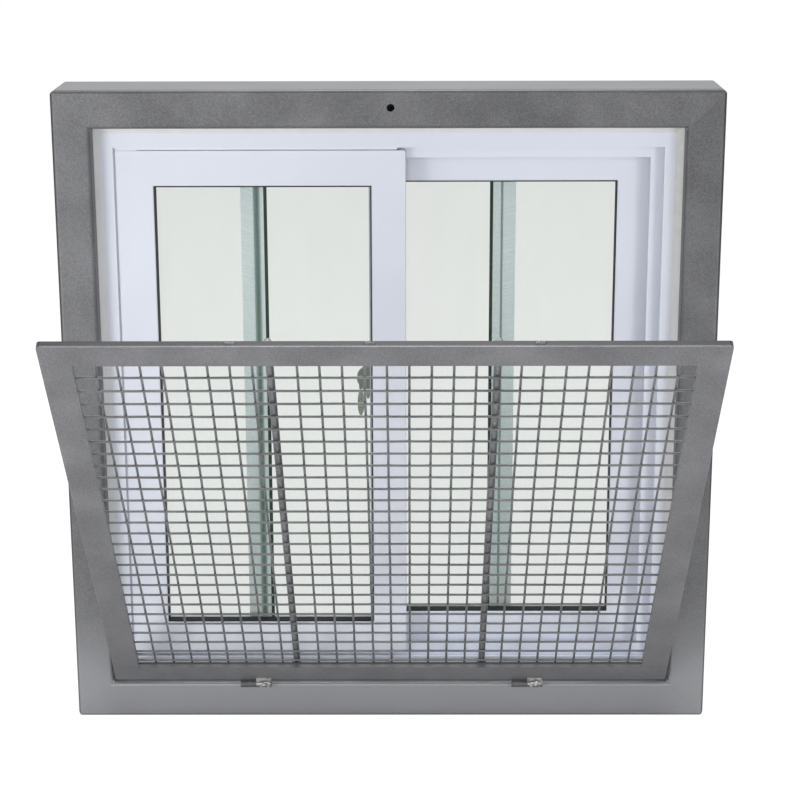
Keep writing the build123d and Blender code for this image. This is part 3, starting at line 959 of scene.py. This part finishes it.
@dataclass
class GuardLeaf:
    """Hinged leaf of flat bars with welded mesh and two round bars.

    Depths are along the leaf's outward direction, so those behind its face are negative.
    """

    wire_radius: float = 1.5 * MM
    pitch: float = 25 * MM
    sway: float = 0.35 * MM
    across_depth: float = -13.5 * MM
    across_first: float = 43 * MM
    across_count: int = 28
    upright_depth: float = -16.3 * MM
    upright_first: float = -348 * MM
    upright_count: int = 29
    upright_span: Span = (21 * MM, 745 * MM)
    upright_steps: int = 28
    mesh_edge: float = 363 * MM
    bars: Span = (-0.1285, 0.1255)
    bar_radius: float = 4.5 * MM
    bar_clearance: float = 7.5 * MM
    edge_reach: float = 1.3 * MM
    face_reach: float = 1.5 * MM
    seam_half: float = 4 * MM
    top_wear: float = 0.2
    side_wear: float = 0.15
    # Strengths of the painted shade on the borders' narrow faces.
    top_shade: float = 0.95
    low_shade: float = 0.5
    under_shade: float = 0.8
    # Strength of the painted shade on the round bars.
    bar_dark: float = 0.75
    # Span and share of the paint made lighter low on the leaf.
    lighter_foot: Span = (0.03, 0.30)
    lighter_share: float = 0.16
    drops: XYZ = (-0.169, -0.016, 0.170)
    drop_half: float = 4 * MM
    drop_sunk: float = 0.3 * MM
    drop_depth: float = -9 * MM
    drop_bead: Bead = Bead(4.5 * MM, 1.6 * MM, 2.4 * MM)
    bar_bead: Bead = Bead(5 * MM, 2.2 * MM, 2.6 * MM)
    bar_bead_length: float = 20 * MM
    bar_bead_depth: float = 2.6 * MM
    bar_bead_side: float = 0.92
    paint: HammerPaint = HammerPaint(
        "guard_hammertone", (0.112, 0.113, 0.121), (0.214, 0.215, 0.226)
    )
    wire_paint: HammerPaint = HammerPaint(
        "guard_wire_paint",
        (0.112, 0.114, 0.118),
        (0.205, 0.208, 0.214),
        rough=0.36,
        grain=0.6 * MM,
    )

    def wear(self, g: Graph) -> Wire:
        """Rubbed outer edges of the leaf.

        Args:
            g: The graph they are drawn in.

        Returns:
            The rubbed places, from 0 to 1.
        """
        x, up, out = LEAF.axes(g)
        top = up.near(LEAF.high, self.edge_reach) * self.top_wear
        sides = abs(x).near(LEAF.half_width, self.edge_reach) * self.side_wear
        return out.near(LEAF.front, self.face_reach) * (top + sides)

    def painted_shade(self, g: Graph) -> Wire:
        """Painted shade on the narrow faces of the top and bottom borders.

        Args:
            g: The graph they are drawn in.

        Returns:
            The painted shade, from 0 to 1.
        """
        _, up, out = LEAF.axes(g)
        behind = 1.0 - out.step(LEAF.front - 2.5 * MM, LEAF.front - 0.5 * MM)
        top = up.step(LEAF.high - 0.5 * MM, LEAF.high - 0.1 * MM)
        low = up.near(LEAF.low + LEAF.border, 0.8 * MM)
        under = 1.0 - up.step(LEAF.low + 0.2 * MM, LEAF.low + 1.0 * MM)
        return behind * top * self.top_shade + low * self.low_shade + under * self.under_shade

    def lighten(self, g: Graph) -> Wire:
        """Paint made lighter low on the leaf.

        Args:
            g: The graph it is drawn in.

        Returns:
            The lighter places, from 0 to 1.
        """
        return (1.0 - LEAF.axes(g)[1].step(*self.lighter_foot)) * self.lighter_share

    def bar_shade(self, g: Graph) -> Wire:
        """Painted shade on the right sides of the round bars.

        Args:
            g: The graph they are drawn in.

        Returns:
            The painted shade, from 0 to 1.
        """
        x, _, _ = g.axes()
        left, right = ((x - bar).near(self.bar_radius, self.bar_radius) for bar in self.bars)
        return (left + right) * self.bar_dark

    def weld(self, g: Graph) -> Wire:
        """Ground welds along the leaf's mitres.

        Args:
            g: The graph they are drawn in.

        Returns:
            1 along a weld.
        """
        x, up, _ = LEAF.axes(g)
        across = LEAF.half_width - abs(x)
        rise = (up - LEAF.low).least(LEAF.high - up)
        return abs(across - rise).near(0.0, self.seam_half)

    def build_wires(self, coat: bpy.types.Material) -> None:
        """Make the welded mesh, one piece for each stretch between the round bars.

        Args:
            coat: The wires' material.
        """
        uprights = [self.upright_first + self.pitch * i for i in range(self.upright_count)]
        uprights = [x for x in uprights if min(abs(x - b) for b in self.bars) > self.bar_clearance]
        spans = {
            "left": (-self.mesh_edge, self.bars[0]),
            "middle": self.bars,
            "right": (self.bars[1], self.mesh_edge),
        }
        for side, (low, high) in spans.items():
            shape = bmesh.new()
            steps = max(4, round((high - low) / self.pitch))
            for i in range(self.across_count):
                up = self.across_first + self.pitch * i
                ends = (Vector((x, up, self.across_depth)) for x in (low, high))
                add_rod(shape, *ends, self.wire_radius, steps, self.sway)
            for x in (x for x in uprights if low < x < high):
                ends = (Vector((x, up, self.upright_depth)) for up in self.upright_span)
                add_rod(shape, *ends, self.wire_radius, self.upright_steps, self.sway)
            bmesh.ops.transform(shape, matrix=LEAF.matrix, verts=shape.verts)
            stands_for = (f"guard_mesh_{side}",)
            add_piece(f"guard_wires_{side}", shape, coat, Body.GUARD, stands_for)

    def build_welds(self, coat: bpy.types.Material) -> None:
        """Add weld drops on the leaf's top edge and where the round bars meet its border.

        Args:
            coat: The leaf's material.
        """
        shape = bmesh.new()
        top = LEAF.high - self.drop_sunk
        for x in self.drops:
            start = Vector((x - self.drop_half, top, self.drop_depth))
            end = Vector((x + self.drop_half, top, self.drop_depth))
            add_weld_run(shape, start, end, self.drop_bead, Vector((0, 1, 0)))
        depth = LEAF.back - self.bar_bead_depth
        for bar in self.bars:
            for up, way in ((LEAF.low + LEAF.border, -1), (LEAF.high - LEAF.border, 1)):
                for side in (-1, 1):
                    x = bar + side * self.bar_radius * self.bar_bead_side
                    start = Vector((x, up, depth))
                    end = Vector((x, up + way * self.bar_bead_length, depth))
                    out = Vector((side, 0, -1)).normalized()
                    add_weld_run(shape, start, end, self.bar_bead, out)
        bmesh.ops.transform(shape, matrix=LEAF.matrix, verts=shape.verts)
        add_piece("guard_weld_drops", shape, coat, Body.GUARD)

    def build(self, frame: dict) -> None:
        """Dress the borders and bars and make the mesh.
        """
        # Borders with painted shade on their narrow faces and paint made lighter low down.
        coat = self.paint.coat(self.wear, self.weld, self.painted_shade, self.lighten)
        sides = ("bottom", "top", "left", "right")
        dress(frame, [f"guard_{side}_border" for side in sides], coat)
        wire_coat = self.wire_paint.coat(lambda g: g.speckle(20 * MM).step(0.6, 0.8) * 0.2)
        bar_paint = replace(self.wire_paint, name="guard_bar_paint")
        # Round bars with painted shade on their right sides.
        bar_coat = bar_paint.coat(
            lambda g: g.speckle(5 * MM).step(0.5, 0.7) * 0.4, painted_shade=self.bar_shade
        )
        dress(frame, ("guard_bar_left", "guard_bar_right"), bar_coat)
        self.build_wires(wire_coat)
        self.build_welds(replace(self.paint, name="guard_weld_paint").coat(self.wear))


@dataclass
class Hinges:
    """Barrel hinges welded to the bottom rail and to the leaf.

    Each drop is its place along the barrel in lengths, its place up the leaf and out of it in
    radii, and its size in radii.
    """

    places: Span = (-0.186, 0.189)
    length: float = 21 * MM
    radius: float = 5 * MM
    # Painted shade: darker tones than the frame's paint, for the fixed barrels.
    tone: RGB = (0.070, 0.071, 0.074)
    light: RGB = (0.150, 0.152, 0.156)
    drops: tuple[tuple[float, float, float, float], ...] = (
        (0.16, 0.55, 0.45, 0.62),
        (0.36, 0.75, 0.35, 0.75),
        (0.58, 0.35, 0.62, 0.60),
        (0.62, 0.95, 0.20, 0.72),
        (0.84, 0.70, 0.42, 0.66),
        (0.30, 0.05, 0.72, 0.50),
        (0.80, -0.05, 0.70, 0.48),
    )
    drop_shape: XYZ = (1.3, 1.0, 0.8)
    drop_fineness: int = 3
    bright: BareWeld = BareWeld()
    dull: BareWeld = BareWeld("dull_weld", (0.22, 0.22, 0.22), (0.10, 0.10, 0.10), 0.3)

    def build(self, frame: dict, paint: HammerPaint) -> None:
        """Dress the barrels and cover those of the leaf with bright weld.

        Args:
            paint: The frame's paint.
        """
        # The frame's paint in darker tones: painted shade on the fixed barrels.
        paint = replace(paint, name="hinge_shaded_hammertone", tone=self.tone, light=self.light)
        coat = paint.coat(lambda g: g.speckle(6 * MM).step(0.5, 0.7) * 0.3)
        dress(frame, ("hinge_left_fixed", "hinge_right_fixed"), coat)
        bright = self.bright.coat()
        dress(frame, ("hinge_left_leaf", "hinge_right_leaf"), self.dull.coat())
        for side, x in zip(("left", "right"), self.places):
            shape = bmesh.new()
            for along, up, out, size in self.drops:
                centre = Vector((x + along * self.length, up * self.radius, out * self.radius))
                half = Vector(self.drop_shape) * size * self.radius
                add_blob(shape, centre, half, self.drop_fineness)
            bmesh.ops.transform(shape, matrix=LEAF.matrix, verts=shape.verts)
            add_piece(f"hinge_{side}_weld", shape, bright, Body.GUARD)


@dataclass
class TrackFrame:
    """Two-track window frame with the sealant round it."""

    corners: Corners = (-0.383, 0.054, 0.383, 0.813)

    def build(self, frame: dict) -> None:
        """Dress the track members, the strip seal and the sealant.
        """
        coat = WhitePvc("track_pvc", self.corners).coat()
        members = ("head", "sill", "left_jamb", "right_jamb")
        dress(frame, [f"track_{member}" for member in members], coat)
        dress(frame, ("head_strip",), WhitePvc("strip_pvc", rough=0.4).coat())
        sides = ("bottom", "top", "left", "right")
        dress(frame, [f"sealant_{side}" for side in sides], OldSealant().coat())


@dataclass
class Sash:
    """One glazed sash. Its corners are x0, z0, x1 and z1, and face is the y of its front."""

    name: str
    corners: Corners
    groove: Groove
    face: float
    # Painted light: the pane bar's plastic made lighter than the rest, standing in for the light
    # that the glass holds back.
    bar_lit_tone: RGB = (0.88, 0.96, 1.0)
    lip_depth: float = 1.5 * MM
    lip_side: float = 3.5 * MM
    lip_top: float = 5.5 * MM
    lip_end: float = 30 * MM

    def build_lip(self, coat: bpy.types.Material, outward: int) -> None:
        """Add the thin lip behind the track's flange that closes the gap beside the sash.

        Args:
            coat: The lip's material.
            outward: -1 where the sash stands at the left jamb, 1 at the right.
        """
        x0, z0, x1, z1 = self.corners
        edge = x0 if outward < 0 else x1
        beside = edge + outward * self.lip_side
        inside = edge - outward * self.lip_end
        shape = bmesh.new()
        for xs, zs in (((edge, beside), (z0, z1)), ((beside, inside), (z1, z1 + self.lip_top))):
            low = Vector((min(xs), self.face, zs[0]))
            high = Vector((max(xs), self.face + self.lip_depth, zs[1]))
            add_box(shape, low, high)
        add_piece(f"{self.name}_lip", shape, coat, Body.WINDOW)

    def build(self, frame: dict, glass: bpy.types.Material, gasket: bpy.types.Material) -> None:
        """Dress the sash's members, glass, gasket and pane bar.

        Args:
            glass: The panes' material.
            gasket: The gaskets' material.
        """
        coat = WhitePvc(f"{self.name}_pvc", self.corners).coat()
        members = ("top_rail", "bottom_rail", "left_stile", "right_stile")
        dress(frame, [f"{self.name}_{member}" for member in members], coat)
        dress(frame, (f"{self.name}_glass",), glass)
        dress(frame, (f"{self.name}_gasket", f"{self.name}_bar_gasket"), gasket)
        # Pane bar with painted light in its tone and painted shade in its groove.
        bar = WhitePvc(f"{self.name}_bar_pvc", tone=self.bar_lit_tone, groove=self.groove)
        dress(frame, (f"{self.name}_pane_bar",), bar.coat())


@dataclass
class SashLock:
    """Lock on the meeting stile with its keys."""

    metal: CastMetal = CastMetal("lock_grey", (0.27, 0.26, 0.26))
    key: CastMetal = CastMetal("key_steel", (0.36, 0.36, 0.34), 0.3, 0.9)

    def build(self, frame: dict) -> None:
        """Dress the lock and its keys.
        """
        dress(frame, ("lock_body",), self.metal.coat())
        dress(frame, ("lock_key", "lock_spare_key"), self.key.coat())


# Stage


@dataclass(frozen=True)
class Lamp:
    """One soft square lamp: where it hangs, what it points at, its side and its power."""

    name: str
    place: XYZ
    target: XYZ
    size: float
    watts: float


@dataclass
class Studio:
    """Pale floor, white surround, soft lamps and the photograph's camera."""

    camera_place: XYZ = (0.0284, -2.6883, 1.1962)
    pitch_deg: float = -15.641
    yaw_deg: float = 0.307
    roll_deg: float = -0.147
    focal_px: float = 2052.4
    image_px: float = 800.0
    sensor_mm: float = 36.0
    seen_level: float = 1.03
    fill_level: float = 0.336
    floor_half: float = 12.0
    floor_tone: RGB = (0.93, 0.93, 0.93)
    floor_glow: float = 1.12
    floor_share: float = 0.85
    lamps: tuple[Lamp, ...] = (
        Lamp("key", (-1.8, -2.4, 0.75), (0.0, 0.0, 0.40), 0.9, 12.0),
        Lamp("front", (-0.15, -2.9, 1.2), (0.0, 0.0, 0.30), 0.9, 15.0),
        Lamp("low_left", (-1.1, -1.4, 0.34), (0.0, 0.0, 0.10), 0.4, 5.5),
        Lamp("low_right", (1.1, -1.4, 0.34), (0.0, 0.0, 0.10), 0.4, 5.5),
        Lamp("top", (0.0, 0.3, 3.0), (0.0, 0.0, 0.5), 1.6, 80.0),
    )

    def add_camera(self) -> None:
        """Set up the camera as the photograph was taken."""
        data = bpy.data.cameras.new("camera")
        data.sensor_width = self.sensor_mm
        data.lens = self.sensor_mm * self.focal_px / self.image_px
        data.clip_start = 0.05
        camera = bpy.data.objects.new("camera", data)
        turn = (
            Matrix.Rotation(math.radians(self.yaw_deg), 4, "Z")
            @ Matrix.Rotation(math.radians(90.0 + self.pitch_deg), 4, "X")
            @ Matrix.Rotation(math.radians(self.roll_deg), 4, "Z")
        )
        camera.matrix_world = Matrix.Translation(self.camera_place) @ turn
        bpy.context.scene.collection.objects.link(camera)
        bpy.context.scene.camera = camera

    def add_lamp(self, lamp: Lamp) -> None:
        """Add one lamp.

        Args:
            lamp: Its description.
        """
        data = bpy.data.lights.new(lamp.name, "AREA")
        data.shape = "SQUARE"
        data.size = lamp.size
        data.energy = lamp.watts
        light = bpy.data.objects.new(lamp.name, data)
        aim = (Vector(lamp.target) - Vector(lamp.place)).to_track_quat("-Z", "Y")
        light.matrix_world = Matrix.Translation(lamp.place) @ aim.to_matrix().to_4x4()
        bpy.context.scene.collection.objects.link(light)

    def add_surround(self) -> None:
        """White where the camera sees it, itself or through glass, and softer as a light."""
        world = bpy.data.worlds.new("surround")
        bpy.context.scene.world = world
        world.use_nodes = True
        nodes, links = world.node_tree.nodes, world.node_tree.links
        nodes.clear()
        path = nodes.new("ShaderNodeLightPath")
        seen = nodes.new("ShaderNodeMath")
        seen.operation = "MAXIMUM"
        links.new(path.outputs["Is Camera Ray"], seen.inputs[0])
        links.new(path.outputs["Is Transmission Ray"], seen.inputs[1])
        level = nodes.new("ShaderNodeMix")
        level.data_type = "FLOAT"
        low, high = level.inputs[2], level.inputs[3]
        low.default_value = self.fill_level
        high.default_value = self.seen_level
        links.new(seen.outputs[0], level.inputs[0])
        light = nodes.new("ShaderNodeBackground")
        light.inputs["Color"].default_value = (1.0, 1.0, 1.0, 1.0)
        links.new(level.outputs[0], light.inputs["Strength"])
        out = nodes.new("ShaderNodeOutputWorld")
        links.new(light.outputs[0], out.inputs[0])

    def add_floor(self) -> None:
        """Lay the floor that the frame stands on."""
        g = Graph("pale_floor")
        path = g.node("ShaderNodeLightPath").outputs
        seen = Wire(g, path["Is Camera Ray"]).most(Wire(g, path["Is Transmission Ray"]))
        matt = g.node("ShaderNodeBsdfDiffuse", None, {"Color": self.floor_tone})
        light = {"Color": (1.0, 1.0, 1.0), "Strength": self.floor_glow}
        glow = g.node("ShaderNodeEmission", None, light)
        sockets = {0: seen * self.floor_share, 1: matt.outputs[0], 2: glow.outputs[0]}
        mixed = g.node("ShaderNodeMixShader", None, sockets)
        g.node("ShaderNodeOutputMaterial", None, {"Surface": mixed.outputs[0]})
        shape = bmesh.new()
        bmesh.ops.create_grid(shape, x_segments=1, y_segments=1, size=self.floor_half)
        mesh = bpy.data.meshes.new("floor")
        shape.to_mesh(mesh)
        shape.free()
        mesh.materials.append(g.material)
        floor = bpy.data.objects.new("floor", mesh)
        bpy.context.scene.collection.objects.link(floor)

    def build(self) -> None:
        """Set the stage."""
        self.add_camera()
        self.add_surround()
        self.add_floor()
        for lamp in self.lamps:
            self.add_lamp(lamp)
        bpy.context.scene.view_settings.view_transform = "Standard"


FRONT_SASH = Sash(
    "front_sash",
    corners=(-0.3602, 0.0785, 0.0224, 0.787),
    groove=Groove(middle=-0.1762, half=6.5 * MM, share=0.95),
    face=-13 * MM,
)
REAR_SASH = Sash(
    "rear_sash",
    corners=(-0.0274, 0.0785, 0.3552, 0.787),
    groove=Groove(middle=0.1520, half=2.5 * MM, share=0.4),
    face=27 * MM,
)


def main() -> None:
    """Build every sub-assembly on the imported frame."""
    logging.basicConfig(level=logging.INFO, format="%(message)s")
    noise.seed_set(SWAY_SEED)
    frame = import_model()
    Studio().build()
    steel = SteelFrame()
    steel.build(frame)
    GuardLeaf().build(frame)
    Hinges().build(frame, steel.paint)
    TrackFrame().build(frame)
    glass = PaneGlass().coat()
    gasket = BlackRubber().coat()
    for sash in (FRONT_SASH, REAR_SASH):
        sash.build(frame, glass, gasket)
    FRONT_SASH.build_lip(WhitePvc("lip_pvc").coat(), -1)
    SashLock().build(frame)


if __name__ == "__main__":
    main()
